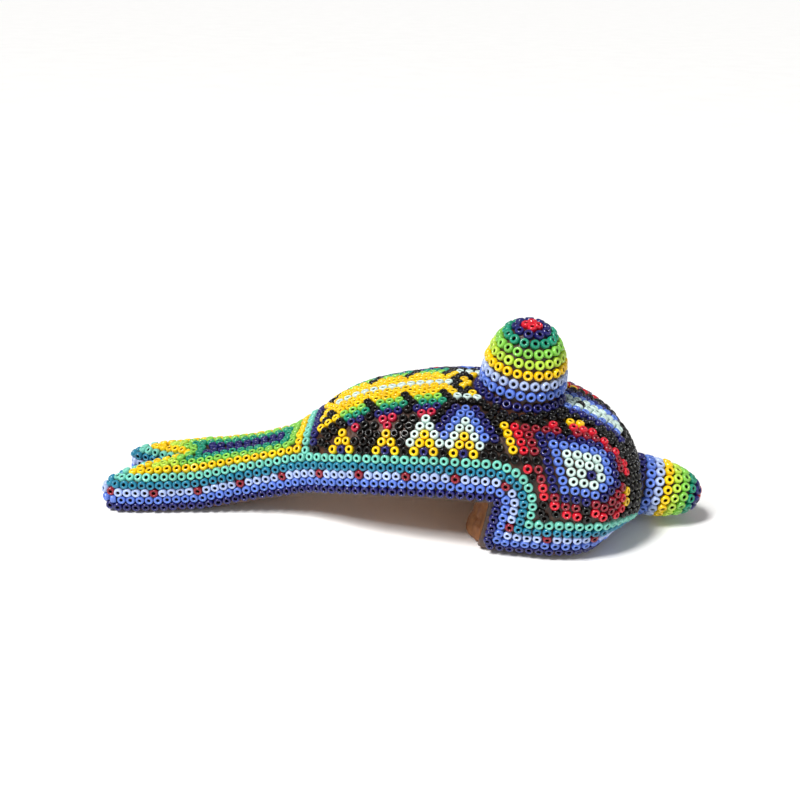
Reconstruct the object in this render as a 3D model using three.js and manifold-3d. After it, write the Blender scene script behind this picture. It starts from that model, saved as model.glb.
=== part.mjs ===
// Huichol-style beaded dolphin: a carved wooden figure, coated with beeswax and covered with courses of
// glass seed beads. Millimetres, +Z up, +X towards the beak, the figure is mirrored about the XZ plane.
// The origin is on the ground, under the middle of the figure.
// Each course or field of beads is one solid as thick as a bead is high.

import * as THREE from 'three';
import { LoftGeometry } from 'three/addons/geometries/LoftGeometry.js';
import { mergeVertices } from 'three/addons/utils/BufferGeometryUtils.js';
import Module from 'manifold-3d';

const wasm = await Module();
wasm.setup();

// ---- driving dimensions ---------------------------------------------------------------------------

const ROW_PITCH = 1.86;      // from one course of beads to the next
const JOINT = 0.16;          // clear gap between neighbouring courses
const BORDER_ROWS = 5;       // courses that follow the edge of the beaded skin

const BEAD_INSET = 1.3;      // the beads' undersides, below the outer surface
const WAX_OUTER = 1.42;
const WAX_INNER = 1.92;
const WOOD_INSET = 2.04;

const BEAK_BASE_X = 54.6;
const LOBE = { rightX: -66.7, leftX: -64.5, y: 7.7, radius: 3.3 };   // round ends of the tail's lobes, in plan
const NOTCH_X = -52.6;                            // apex of the tail's notch
const TORSO_START_X = -22;
const TORSO_END_X = 16.6;
const FLIPPER_REAR_X = { top: 21.4, bottom: 19.4 };   // rear edge of the beads on the flippers
const GROUND_CLEARANCE = 0.7;                     // lowest beads above the ground at the tail
const FLIPPER_CLEARANCE = 1.6;                    // and at the flippers

const FIN = { x: 26.9, z: 32.4, lean: 5, radius: 9.9, height: 15.5, foot: 0.9, power: 2.2 };
const BEAK = { x: 53.4, z: 9.3, droop: 9, radius: 7.1, length: 16.7, power: 2.4 };

const STUMP = { x: 22, y: 11.6, top: 4, foot: 6.1, width: 0.87, height: 14.4 };   // rear of a flipper
const ARCH = { x0: 0, x1: 40, halfWidth: 6.2, height: 9 };                     // hollow between the flippers

// Cross-sections of the beaded surface: x, ridge height, half width, height where widest, lowest point of
// the whole oval, and how square the oval is (2 is an ellipse).
const STATIONS = [
  [-70.0, 6.2, 11.0, 3.5, -1.5, 4.0],
  [-67.0, 8.3, 11.3, 4.0, -2.0, 4.3],
  [-60.0, 10.5, 11.0, 4.5, -2.5, 4.5],
  [-52.0, 12.1, 10.2, 5.0, -2.5, 4.5],
  [-46.0, 13.1, 9.6, 6.0, -2.0, 4.5],
  [-35.0, 15.2, 9.3, 7.5, 0.0, 4.5],
  [-26.5, 18.0, 9.9, 9.5, 1.5, 3.8],
  [-21.0, 21.8, 12.0, 11.5, 3.0, 3.0],
  [-13.5, 27.2, 15.8, 13.5, 4.0, 2.7],
  [-8.0, 29.6, 18.0, 14.5, 4.0, 2.7],
  [0.0, 31.5, 20.2, 15.5, 3.0, 2.7],
  [10.0, 32.8, 22.1, 16.0, 0.0, 2.7],
  [18.0, 32.7, 23.2, 16.0, -7.0, 2.7],
  [28.0, 31.2, 24.2, 15.5, -8.5, 2.7],
  [38.0, 29.6, 24.2, 15.0, -8.5, 2.7],
  [44.0, 27.1, 23.0, 14.0, -3.0, 2.6],
  [48.0, 24.6, 20.4, 13.0, 1.4, 2.5],
  [52.0, 20.4, 15.4, 11.6, 2.4, 2.3],
  [BEAK_BASE_X, 17.0, 12.2, 10.2, 2.1, 2.1],
];

// Lower edge of the beads in side view, from the tail to the flipper.
const FLANK_EDGE = [
  [-72, GROUND_CLEARANCE], [-57, GROUND_CLEARANCE], [-46, 1.4], [-35, 4.0], [-26.5, 6.1],
  [-18.5, 9.1], [-8, 11.8], [0, 13.0], [10, 14.1],
];
const FLIPPER_TOP_Z = 14.5;
const WAX_MARGIN = 0.3;      // wax that shows past the beads
const WOOD_MARGIN = 0.5;     // wood that shows past the beads
const TAIL_PAD_END_X = -56;  // the tail rests on the ground behind this

const FAR = 90;              // beyond every part of the figure
const SECTION_SIDES = 20;
const LATHE_SIDES = 12;
const SECTIONS_AT = [-70, -67, -59, -46, -33, -24, -18, -10, 0, 11, 20, 29, 38, 44, 48, 52, BEAK_BASE_X];

// Patterns on the tail, the back and the head.
const TAIL_TOP = { tipX: -64, tipStep: 2.65, tipY: 7.4, side: 8.3, sideStep: 1.1, taper: 8 };
const BACK = { yellow: 1.0, greens: 7.1, panel: 13.2 };   // distances from the ridge, across the back
const EYE = { x: 39.2, y: 21.5, z: 22.4, tilt: 33 };
const EYE_RINGS = [['white', 4.4], ['blue', 6.5], ['navy', 8.6], ['red', 12.4]];
const CROWN = { x0: 38.6, x1: 50, halfWidth: 2.2 };
const DOME_COLOURS = ['navy', 'blue', 'pale', 'yellow', 'yellowGreen', 'lime', 'green', 'navy', 'red'];

// ---- colours --------------------------------------------------------------------------------------

const COLOURS = {
  wood: 0xa9794a, wax: 0x6f3d14, navy: 0x23235f, blue: 0x5f7fd6, pale: 0xb9c9ee, teal: 0x2f87a8,
  turquoise: 0x88dac6, yellow: 0xffc800, yellowGreen: 0xc0e04a, lime: 0x8fd653, green: 0x1f9a7a,
  red: 0xe01b30, darkRed: 0xa01c2c, white: 0xdff0ec, black: 0x1a1714,
};

// ---- solids ---------------------------------------------------------------------------------------

function solidOf(geometry) {
  const bare = new THREE.BufferGeometry();
  bare.setAttribute('position', geometry.getAttribute('position'));
  bare.setIndex(geometry.index);
  const merged = mergeVertices(bare, 1e-4);
  return new wasm.Manifold(new wasm.Mesh({
    numProp: 3,
    vertProperties: new Float32Array(merged.attributes.position.array),
    triVerts: new Uint32Array(merged.index.array),
  }));
}

function geometryOf(solid) {
  const { vertProperties, triVerts } = solid.getMesh();
  const geometry = new THREE.BufferGeometry();
  geometry.setAttribute('position', new THREE.Float32BufferAttribute(vertProperties, 3));
  geometry.setIndex([...triVerts]);
  geometry.computeVertexNormals();
  return geometry;
}

function block(x0, x1, y0, y1, z0, z1) {
  const box = new THREE.BoxGeometry(x1 - x0, y1 - y0, z1 - z0);
  box.translate((x0 + x1) / 2, (y0 + y1) / 2, (z0 + z1) / 2);
  return solidOf(box);
}

// A prism whose outline is drawn in side view, as [x, z], and runs from y0 to y1.
function sidePrism(outline, y0, y1) {
  const shape = new THREE.Shape(outline.map(([x, z]) => new THREE.Vector2(x, z)));
  const prism = new THREE.ExtrudeGeometry(shape, { depth: y1 - y0, bevelEnabled: false });
  prism.rotateX(Math.PI / 2);
  prism.translate(0, y1, 0);
  return solidOf(prism);
}

// A prism whose outline is drawn in plan, as [x, y], and runs the full height.
function planPrism(outline) {
  const shape = new THREE.Shape(outline.map(([x, y]) => new THREE.Vector2(x, y)));
  return solidOf(new THREE.ExtrudeGeometry(shape, { depth: FAR, bevelEnabled: false })
    .translate(0, 0, -FAR / 4));
}

// ---- the carved form ------------------------------------------------------------------------------

const stationCurve = new THREE.CubicInterpolant(
  STATIONS.map((s) => s[0]),
  STATIONS.flatMap((s) => s.slice(1)),
  STATIONS[0].length - 1,
);

function ovalPoint(x, angle, inset) {
  const [top, half, mid, low, square] = stationCurve.evaluate(x);
  const power = 2 / square;
  const c = Math.cos(angle);
  const s = Math.sin(angle);
  const reach = (s > 0 ? top - mid : mid - low) - inset;
  return new THREE.Vector3(
    x,
    (half - inset) * Math.sign(c) * Math.abs(c) ** power,
    mid + reach * Math.sign(s) * Math.abs(s) ** power,
  );
}

function oval(x, inset) {
  const points = [];
  for (let i = 0; i < SECTION_SIDES; i += 1) {
    points.push(ovalPoint(x, (i / SECTION_SIDES) * 2 * Math.PI, inset));
  }
  return points;
}

// Plan of the forked tail, generous everywhere else.
function tailPlan(inset) {
  const { rightX, leftX, y, radius } = LOBE;
  const r = radius - inset;
  const plan = new THREE.Shape();
  plan.moveTo(NOTCH_X + 2 * inset, 0);
  plan.lineTo(leftX, y - r);
  plan.absarc(leftX, y, r, -Math.PI / 2, -3 * Math.PI / 2, true);
  plan.lineTo(NOTCH_X, FAR / 2);
  plan.lineTo(FAR, FAR / 2);
  plan.lineTo(FAR, -FAR / 2);
  plan.lineTo(NOTCH_X, -FAR / 2);
  plan.absarc(rightX, -y, r, 3 * Math.PI / 2, Math.PI / 2, true);
  const prism = new THREE.ExtrudeGeometry(plan, { depth: FAR, bevelEnabled: false, curveSegments: 6 });
  prism.translate(0, 0, -FAR / 4);
  return solidOf(prism);
}

// The whole body and head, at some depth below the outer surface.
function form(inset) {
  const loft = new LoftGeometry(SECTIONS_AT.map((x) => oval(x, inset)), { capStart: true, capEnd: true });
  return solidOf(loft).intersect(tailPlan(inset));
}

// The line of the skin's edge in side view, moved inwards by a distance across the courses.
function skinEdge(distance) {
  const line = FLANK_EDGE.map(([x, z]) => [x, z + distance]);
  line.push([FLIPPER_REAR_X.top + distance, FLIPPER_TOP_Z + distance]);
  line.push([FLIPPER_REAR_X.bottom + distance, FLIPPER_CLEARANCE + distance]);
  line.push([FAR, FLIPPER_CLEARANCE + distance]);
  return line;
}

function aboveEdge(distance) {
  return sidePrism([...skinEdge(distance), [FAR, FAR], [-FAR, FAR], [-FAR, skinEdge(distance)[0][1]]], -FAR, FAR);
}

function betweenEdges(from, to, y0, y1) {
  return sidePrism([...skinEdge(from), ...skinEdge(to).reverse()], y0, y1);
}

// ---- fin and beak, turned forms -------------------------------------------------------------------

// A dome's meridian, as [radius, height] at even steps of arc from the foot to the tip.
function meridian({ radius, power, foot = 0 }, length) {
  const fine = [];
  const steps = 400;
  for (let i = 0; i <= steps; i += 1) {
    const angle = (i / steps) * (Math.PI / 2);
    fine.push([radius * Math.cos(angle) ** (2 / power), length * Math.sin(angle) ** (2 / power)]);
  }
  if (foot > 0) fine.unshift([radius, -foot]);
  const run = [0];
  for (let i = 1; i < fine.length; i += 1) {
    run.push(run[i - 1] + Math.hypot(fine[i][0] - fine[i - 1][0], fine[i][1] - fine[i - 1][1]));
  }
  return { fine, run, total: run[run.length - 1] };
}

function alongMeridian(curve, distance, inset) {
  const { fine, run, total } = curve;
  const d = Math.min(Math.max(distance, 0), total);
  let i = run.findIndex((value) => value >= d);
  i = Math.max(i, 1);
  const t = (d - run[i - 1]) / (run[i] - run[i - 1]);
  const r = fine[i - 1][0] + t * (fine[i][0] - fine[i - 1][0]);
  const h = fine[i - 1][1] + t * (fine[i][1] - fine[i - 1][1]);
  const slope = new THREE.Vector2(fine[i][0] - fine[i - 1][0], fine[i][1] - fine[i - 1][1]).normalize();
  return new THREE.Vector2(Math.max(r - inset * slope.y, 0), h + inset * slope.x);
}

// One band of a dome between two distances along its meridian and two depths.
function domeBand(curve, from, to, outer, inner) {
  const steps = Math.max(2, Math.ceil((to - from) / ROW_PITCH));
  const profile = [];
  for (let i = steps; i >= 0; i -= 1) {
    profile.push(alongMeridian(curve, from + ((to - from) * i) / steps, inner));
  }
  for (let i = 0; i <= steps; i += 1) {
    profile.push(alongMeridian(curve, from + ((to - from) * i) / steps, outer));
  }
  if (to < curve.total) profile.push(profile[0].clone());
  return new THREE.LatheGeometry(profile, LATHE_SIDES);
}

// A solid dome with a flat underside at some depth below its foot.
function domeCore(curve, inset, below) {
  const steps = 9;
  const first = alongMeridian(curve, 0, inset);
  const profile = [new THREE.Vector2(0, -below), new THREE.Vector2(first.x, -below)];
  for (let i = 0; i <= steps; i += 1) {
    const point = alongMeridian(curve, (curve.total * i) / steps, inset);
    if (point.y > -below + 0.2) profile.push(point);
  }
  profile[profile.length - 1].x = 0;
  return new THREE.LatheGeometry(profile, LATHE_SIDES);
}

function placeFin(geometry) {
  geometry.rotateX(Math.PI / 2);
  geometry.rotateY(THREE.MathUtils.degToRad(FIN.lean));
  return geometry.translate(FIN.x, 0, FIN.z);
}

function placeBeak(geometry) {
  geometry.rotateX(Math.PI / 2);
  geometry.rotateY(THREE.MathUtils.degToRad(90 + BEAK.droop));
  return geometry.translate(BEAK.x, 0, BEAK.z);
}

const finCurve = meridian(FIN, FIN.height);
const beakCurve = meridian(BEAK, BEAK.length);
const finPost = solidOf(placeFin(new THREE.CylinderGeometry(FIN.radius + 0.6, FIN.radius + 0.6, 16, LATHE_SIDES)
  .rotateY(Math.PI / LATHE_SIDES)));

// Everything in front of the beak's base.
const beakSide = solidOf(placeBeak(new THREE.BoxGeometry(FAR, FAR, FAR).translate(0, FAR / 2 - JOINT, 0)));

// ---- the group ------------------------------------------------------------------------------------

const figure = new THREE.Group();

function add(name, geometry, colour, roughness = 0.25) {
  const material = new THREE.MeshStandardMaterial({ color: COLOURS[colour], roughness, metalness: 0 });
  const mesh = new THREE.Mesh(geometry, material);
  mesh.name = name;
  figure.add(mesh);
}

// Slivers that a cut leaves beside the piece itself are dropped.
function addSolid(name, solid, colour, roughness) {
  const pieces = solid.decompose().sort((a, b) => b.volume() - a.volume());
  add(name, geometryOf(pieces[0]), colour, roughness);
}

const SIDES = [['right', -FAR, -JOINT / 2], ['left', JOINT / 2, FAR]];

// ---- carved wood ----------------------------------------------------------------------------------

function carvedWood() {
  const rear = FLIPPER_REAR_X.bottom - WOOD_MARGIN;
  const belly = FLANK_EDGE.slice(2).map(([x, z]) => [x, z - WOOD_MARGIN]);
  const silhouette = [
    [-FAR, 0], [TAIL_PAD_END_X, 0], ...belly, [rear, FLIPPER_TOP_Z - WOOD_MARGIN],
    [rear, 0], [FAR, 0], [FAR, FAR], [-FAR, FAR],
  ];
  let wood = form(WOOD_INSET).subtract(beakSide).intersect(sidePrism(silhouette, -FAR, FAR));
  for (const side of [-1, 1]) {
    const stump = new THREE.CylinderGeometry(STUMP.top, STUMP.foot, STUMP.height, LATHE_SIDES);
    stump.rotateX(Math.PI / 2);
    stump.scale(1, STUMP.width, 1);
    stump.translate(STUMP.x, side * STUMP.y, STUMP.height / 2);
    wood = wood.add(solidOf(stump).intersect(block(-FAR, rear + JOINT, -FAR, FAR, 0, FAR)));
  }
  const arch = new THREE.Shape();
  arch.moveTo(-ARCH.halfWidth, -1);
  arch.lineTo(ARCH.halfWidth, -1);
  arch.lineTo(ARCH.halfWidth, ARCH.height - ARCH.halfWidth);
  arch.absarc(0, ARCH.height - ARCH.halfWidth, ARCH.halfWidth, 0, Math.PI);
  const hollow = new THREE.ExtrudeGeometry(arch, {
    depth: ARCH.x1 - ARCH.x0, bevelEnabled: false, curveSegments: 10,
  });
  hollow.rotateX(Math.PI / 2);
  hollow.rotateZ(Math.PI / 2);
  hollow.translate(ARCH.x0, 0, 0);
  wood = wood.subtract(solidOf(hollow));
  wood = wood.add(solidOf(placeFin(domeCore(finCurve, WOOD_INSET, 4))));
  return wood.add(solidOf(placeBeak(domeCore(beakCurve, WOOD_INSET, 1.5))));
}

addSolid('wood_body', carvedWood(), 'wood', 0.7);

// ---- beeswax coat ---------------------------------------------------------------------------------

const waxCoat = form(WAX_OUTER).subtract(form(WAX_INNER)).intersect(aboveEdge(-WAX_MARGIN))
  .subtract(finPost).subtract(beakSide);
const WAX_ZONES = [['tail', -FAR, TORSO_START_X], ['torso', TORSO_START_X, TORSO_END_X], ['head', TORSO_END_X, FAR]];

for (const [zone, x0, x1] of WAX_ZONES) {
  addSolid(`wax_${zone}`, waxCoat.intersect(block(x0 + JOINT / 2, x1 - JOINT / 2, -FAR, FAR, -FAR, FAR)), 'wax', 0.5);
}
add('wax_fin', placeFin(domeBand(finCurve, 0, finCurve.total, WAX_OUTER, WAX_INNER)), 'wax', 0.5);
add('wax_beak', placeBeak(domeBand(beakCurve, 1, beakCurve.total, WAX_OUTER, WAX_INNER)), 'wax', 0.5);

// ---- beads: border courses ------------------------------------------------------------------------

const beadSkin = form(0).subtract(form(BEAD_INSET)).subtract(finPost).subtract(beakSide);
const BORDER_COLOURS = ['navy', 'blue', 'pale', 'teal', 'turquoise'];

BORDER_COLOURS.forEach((colour, row) => {
  for (const [side, y0, y1] of SIDES) {
    const course = betweenEdges(row * ROW_PITCH + JOINT / 2, (row + 1) * ROW_PITCH - JOINT / 2, y0, y1);
    addSolid(`border_${colour}_${side}`, beadSkin.intersect(course), colour);
  }
});

const innerSkin = beadSkin.intersect(aboveEdge(BORDER_ROWS * ROW_PITCH + JOINT / 2));

// ---- beads: top of the tail -----------------------------------------------------------------------

// Plan of the tail's top, stepped inwards by a distance, from the body to both lobes and the notch.
function tailTop(distance) {
  const tip = { x: TAIL_TOP.tipX + TAIL_TOP.tipStep * distance, y: TAIL_TOP.tipY - distance };
  const side = TAIL_TOP.side - TAIL_TOP.sideStep * distance;
  const end = TORSO_START_X - distance;
  const waist = tip.x + TAIL_TOP.taper;
  return planPrism([
    [end, -side], [end, side], [waist, side - 0.3], [tip.x, tip.y],
    [NOTCH_X + 1.2 + distance, 0],
    [tip.x, -tip.y], [waist, 0.3 - side],
  ]);
}

const tailSkin = innerSkin.intersect(block(-FAR, TORSO_START_X - JOINT / 2, -FAR, FAR, -FAR, FAR));
const TAIL_BANDS = ['yellow', 'lime', 'green', 'navy'];

TAIL_BANDS.forEach((colour, row) => {
  let band = tailSkin;
  if (row > 0) band = band.intersect(tailTop(row * ROW_PITCH + JOINT / 2));
  if (row < TAIL_BANDS.length - 1) band = band.subtract(tailTop((row + 1) * ROW_PITCH - JOINT / 2));
  addSolid(`tail_top_${colour}`, band, colour);
});

// ---- beads: rings across the root of the tail -----------------------------------------------------

const RINGS_ACROSS = ['turquoise', 'navy'];
RINGS_ACROSS.forEach((colour, i) => {
  const start = TORSO_START_X + i * ROW_PITCH;
  const slice = block(start + JOINT / 2, start + ROW_PITCH - JOINT / 2, -FAR, FAR, -FAR, FAR);
  addSolid(`ring_across_${colour}`, innerSkin.intersect(slice), colour);
});

// ---- beads: back and side panels ------------------------------------------------------------------

// Half width of the back, in plan, at a distance along the surface from the ridge.
function reachAcross(x, distance) {
  let run = 0;
  let last = ovalPoint(x, Math.PI / 2, 0);
  const step = Math.PI / 720;
  for (let angle = Math.PI / 2 - step; angle > 0; angle -= step) {
    const next = ovalPoint(x, angle, 0);
    run += next.distanceTo(last);
    if (run >= distance) return next.y;
    last = next;
  }
  return last.y;
}

const backStart = TORSO_START_X + RINGS_ACROSS.length * ROW_PITCH + JOINT / 2;
const backSkin = innerSkin.intersect(block(backStart, TORSO_END_X - JOINT / 2, -FAR, FAR, -FAR, FAR));

function backStrip(from, to, side) {
  const steps = 5;
  const nearLine = [];
  const farLine = [];
  for (let i = 0; i <= steps; i += 1) {
    const x = backStart - 1 + ((TORSO_END_X + 1 - backStart + 1) * i) / steps;
    nearLine.push([x, side * (from > 0 ? reachAcross(x, from) + JOINT / 2 : 0)]);
    farLine.unshift([x, side * (to < FAR ? reachAcross(x, to) - JOINT / 2 : FAR)]);
  }
  return planPrism([...nearLine, ...farLine]);
}

const ridge = backStrip(0, BACK.yellow, 1).add(backStrip(0, BACK.yellow, -1));
addSolid('back_ridge_white', backSkin.intersect(ridge), 'white');
for (const [name, sign] of [['right', -1], ['left', 1]]) {
  addSolid(`back_yellow_${name}`, backSkin.intersect(backStrip(BACK.yellow, BACK.greens, sign)), 'yellow');
  addSolid(`back_greens_${name}`, backSkin.intersect(backStrip(BACK.greens, BACK.panel, sign)), 'green');
  addSolid(`side_panel_${name}`, backSkin.intersect(backStrip(BACK.panel, FAR, sign)), 'black');
}

// ---- beads: head ----------------------------------------------------------------------------------

// A hexagonal prism square to the cheek, for the rings around an eye.
function eyePrism(radius, sign) {
  const prism = new THREE.CylinderGeometry(radius, radius, 26, 6);
  prism.rotateX(THREE.MathUtils.degToRad(sign * EYE.tilt));
  prism.translate(EYE.x, sign * EYE.y, EYE.z);
  return solidOf(prism);
}

let headSkin = innerSkin.intersect(block(TORSO_END_X + JOINT / 2, FAR, -FAR, FAR, -FAR, FAR));
for (const [name, sign] of [['right', -1], ['left', 1]]) {
  EYE_RINGS.forEach(([colour, radius], i) => {
    let ring = headSkin.intersect(eyePrism(radius, sign));
    if (i > 0) ring = ring.subtract(eyePrism(EYE_RINGS[i - 1][1] + JOINT, sign));
    addSolid(`eye_${colour}_${name}`, ring, colour);
  });
}
const eyeSize = EYE_RINGS[EYE_RINGS.length - 1][1] + JOINT;
const crownGap = CROWN.halfWidth + JOINT;
addSolid('crown_white', headSkin.intersect(
  block(CROWN.x0, CROWN.x1, -CROWN.halfWidth, CROWN.halfWidth, -FAR, FAR),
), 'white');
headSkin = headSkin.subtract(eyePrism(eyeSize, -1)).subtract(eyePrism(eyeSize, 1))
  .subtract(block(CROWN.x0 - JOINT, CROWN.x1 + JOINT, -crownGap, crownGap, -FAR, FAR));
addSolid('head_black', headSkin, 'black');

// ---- beads: fin and beak --------------------------------------------------------------------------

function addDome(name, curve, place) {
  const pitch = curve.total / DOME_COLOURS.length;
  DOME_COLOURS.forEach((colour, i) => {
    const from = i * pitch + JOINT / 2;
    const last = i === DOME_COLOURS.length - 1;
    const to = last ? curve.total : (i + 1) * pitch - JOINT / 2;
    const label = last ? 'tip' : `ring_${i + 1}`;
    add(`${name}_${label}_${colour}`, place(domeBand(curve, from, to, 0, BEAD_INSET)), colour);
  });
}

addDome('fin', finCurve, placeFin);
addDome('beak', beakCurve, placeBeak);

export default figure;
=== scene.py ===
"""Huichol-style beaded dolphin: every glass bead, the beeswax between them and the carved wood underneath.

Lengths are in millimetres until a mesh is made, in the CAD's own frame: +X towards the beak, +Z up.
The carved form is one signed-distance field. Its iso-surface gives the wax and the wood, and distances
measured along it give the courses that the beads follow.
"""
import math

import bpy
import numpy as np
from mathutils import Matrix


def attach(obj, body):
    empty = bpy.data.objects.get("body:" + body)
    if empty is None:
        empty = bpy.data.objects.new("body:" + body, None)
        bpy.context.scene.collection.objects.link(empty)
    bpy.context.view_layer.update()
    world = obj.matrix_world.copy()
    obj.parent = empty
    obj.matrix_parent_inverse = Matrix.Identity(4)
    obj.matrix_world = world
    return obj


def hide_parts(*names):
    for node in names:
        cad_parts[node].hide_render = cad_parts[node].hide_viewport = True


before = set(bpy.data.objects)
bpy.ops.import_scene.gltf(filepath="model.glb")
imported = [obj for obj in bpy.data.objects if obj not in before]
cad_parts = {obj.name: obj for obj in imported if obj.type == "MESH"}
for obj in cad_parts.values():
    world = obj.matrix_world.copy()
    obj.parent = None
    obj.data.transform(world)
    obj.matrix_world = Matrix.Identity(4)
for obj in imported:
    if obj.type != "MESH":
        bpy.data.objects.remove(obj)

import openvdb
from mathutils import Matrix, Vector

MM = 0.001
rng = np.random.default_rng(11)
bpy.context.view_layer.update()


# ---- sizes ----------------------------------------------------------------------------------------

ROW = 1.86                  # from one course of beads to the next
PITCH = 2.15                # from one bead to the next along a course
BORDER_ROWS = 5

BEAD_RADIUS = 1.02
HOLE_RADIUS = 0.33
BEAD_HEIGHT = 1.40
BEAD_SEAT = 0.76            # middle of the beads, below the outer surface
WAX_DEPTH = 1.10            # surface of the wax between the beads
WOOD_DEPTH = 1.75           # surface of the wood
WAX_LAP = 0.5               # the wax's inner face lies this far inside the wood's surface
WAX_MARGIN = 0.8            # wax that shows past the beads
WOOD_MARGIN = 0.5           # wood that shows past the beads
GROUND_GAP = 0.3            # between the wax and the ground
SKIN_VOXEL = 0.5            # grid steps of the surface under the beads, the wax and the wood
WAX_VOXEL = 0.42
WOOD_VOXEL = 0.6

# Cross-sections of the figure: x, ridge height, half width, height where widest, lowest point of the whole
# oval, and how square the oval is.
STATIONS = np.array([
    (-70.0, 6.2, 11.0, 3.5, -1.5, 4.0),
    (-67.0, 8.3, 11.3, 4.0, -2.0, 4.3),
    (-60.0, 10.5, 11.0, 4.5, -2.5, 4.5),
    (-52.0, 12.1, 10.2, 5.0, -2.5, 4.5),
    (-46.0, 13.1, 9.6, 6.0, -2.0, 4.5),
    (-35.0, 15.2, 9.3, 7.5, 0.0, 4.5),
    (-26.5, 18.0, 9.9, 9.5, 1.5, 3.8),
    (-21.0, 21.8, 12.0, 11.5, 3.0, 3.0),
    (-13.5, 27.2, 15.8, 13.5, 4.0, 2.7),
    (-8.0, 29.6, 18.0, 14.5, 4.0, 2.7),
    (0.0, 31.5, 20.2, 15.5, 3.0, 2.7),
    (10.0, 32.8, 22.1, 16.0, 0.0, 2.7),
    (18.0, 32.7, 23.2, 16.0, -7.0, 2.7),
    (28.0, 31.2, 24.2, 15.5, -8.5, 2.7),
    (38.0, 29.6, 24.2, 15.0, -8.5, 2.7),
    (44.0, 27.1, 23.0, 14.0, -3.0, 2.6),
    (48.0, 24.6, 20.4, 13.0, 1.4, 2.5),
    (52.0, 20.4, 15.4, 11.6, 2.4, 2.3),
    (55.0, 17.0, 12.2, 10.2, 1.9, 2.1),
])

# Lower edge of the beads in side view, from the tail to the flipper.
FLANK_EDGE = np.array([
    (-72, 0.7), (-57, 0.7), (-46, 1.4), (-35, 4.0), (-26.5, 6.1),
    (-18.5, 9.1), (-8, 11.8), (0, 13.0), (10, 14.1), (21.4, 14.5),
])
FLIPPER_REAR_TOP = (21.4, 14.5)
FLIPPER_REAR_FOOT = (19.4, 1.6)

LOBES = {-1: (-66.7, 7.7), 1: (-64.5, 7.7)}     # centre of each tail lobe's round end
LOBE_RADIUS = 3.3
NOTCH_X = -52.6
RING_X = -22.0              # where the tail's pattern meets the body's
NECK_X = 17.0               # where the torso's wax meets the head's

TRUNK_OVERLAP = 1.2         # the trunk runs on past the beak's base, and is rounded off there
TRUNK_BLEND = 2.5
TAIL_BLEND = 1.6
DOME_ROOT = 4.0             # the fin and the beak reach this far under their bases

FIN = dict(base=(26.9, 0.0, 32.4), tilt=5.0, radius=9.9, height=15.5, power=2.2, blend=2.2)
BEAK = dict(base=(53.4, 0.0, 9.3), tilt=99.0, radius=7.1, height=16.7, power=2.4, blend=1.4)
# The wood of each flipper, a post that flares at its foot and is rounded under its toe.
STUMP = dict(
    x=22.0, y=11.6, top=4.0, foot=6.1, width=0.87, height=15.5, front=24.0, slack=0.85,
    flare_from=9.5, flare_over=7.5, toe=1.6, toe_round=0.35, blend=1.6,
)
ARCH = dict(front=40.0, half_width=6.2, height=9.0, blend=1.0)      # the hollow between the flippers
WOOD_EDGE_BLEND = 1.2


# ---- the carved form ------------------------------------------------------------------------------

def hermite(x, knots, values):
    """A smooth curve through the knots, each slope taken from the two neighbours."""
    slopes = np.gradient(values, axis=0) / np.gradient(knots)[:, None]
    i = np.clip(np.searchsorted(knots, x) - 1, 0, len(knots) - 2)
    width = knots[i + 1] - knots[i]
    t = np.clip((x - knots[i]) / width, 0, 1)[:, None]
    width = width[:, None]
    return (
        (2 * t**3 - 3 * t**2 + 1) * values[i] + (t**3 - 2 * t**2 + t) * width * slopes[i]
        + (3 * t**2 - 2 * t**3) * values[i + 1] + (t**3 - t**2) * width * slopes[i + 1]
    )


def smooth_max(a, b, k):
    h = np.clip(0.5 + 0.5 * (a - b) / k, 0, 1)
    return b + (a - b) * h + k * h * (1 - h)


def smooth_min(a, b, k):
    return -smooth_max(-a, -b, k)


def radial_gap(across, up, wide, tall, power):
    """Distance from a superellipse, measured towards its centre."""
    size = (np.abs(across / wide) ** power + np.abs(up / tall) ** power) ** (1 / power)
    reach = np.hypot(across, up)
    return np.where(size > 1e-6, reach * (1 - 1 / np.maximum(size, 1e-6)), -np.minimum(wide, tall))


def trunk(p, inset):
    x, y, z = p.T
    top, half, mid, low, square = hermite(x, STATIONS[:, 0], STATIONS[:, 1:]).T
    tall = np.where(z > mid, top - mid, mid - low) - inset
    gap = radial_gap(y, z - mid, half - inset, tall, square)
    return smooth_max(gap, x - (BEAK["base"][0] + TRUNK_OVERLAP - inset), TRUNK_BLEND)


def tail_plan(p, inset):
    """Distance outside the forked outline of the tail, in plan."""
    x, y = p[:, 0], p[:, 1]
    lobe_x = np.where(y < 0, LOBES[-1][0], LOBES[1][0])
    lobe_y = LOBES[1][1]
    run = NOTCH_X - lobe_x
    slope = (lobe_y - LOBE_RADIUS) / run
    wall = (slope * (NOTCH_X - x) - np.abs(y)) / np.hypot(1, slope) + inset
    wall = np.where(x > NOTCH_X, np.minimum(wall, NOTCH_X - x + inset), wall)
    tip = np.hypot(np.minimum(x - lobe_x, 0), np.abs(y) - lobe_y) - LOBE_RADIUS + inset
    return np.where(x < lobe_x, tip, wall)


def dome_frame(dome):
    tilt = math.radians(dome["tilt"])
    return np.array(dome["base"]), np.array((math.sin(tilt), 0, math.cos(tilt)))


def dome_coordinates(dome, p):
    base, axis = dome_frame(dome)
    rel = p - base
    up = rel @ axis
    return np.linalg.norm(rel - up[:, None] * axis, axis=1), up


def dome_gap(dome, p, inset):
    out, up = dome_coordinates(dome, p)
    gap = radial_gap(out, np.maximum(up, 0), dome["radius"] - inset, dome["height"] - inset, dome["power"])
    gap = np.where(up < 0, out - dome["radius"] + inset, gap)
    return np.maximum(gap, -up - DOME_ROOT)


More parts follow.
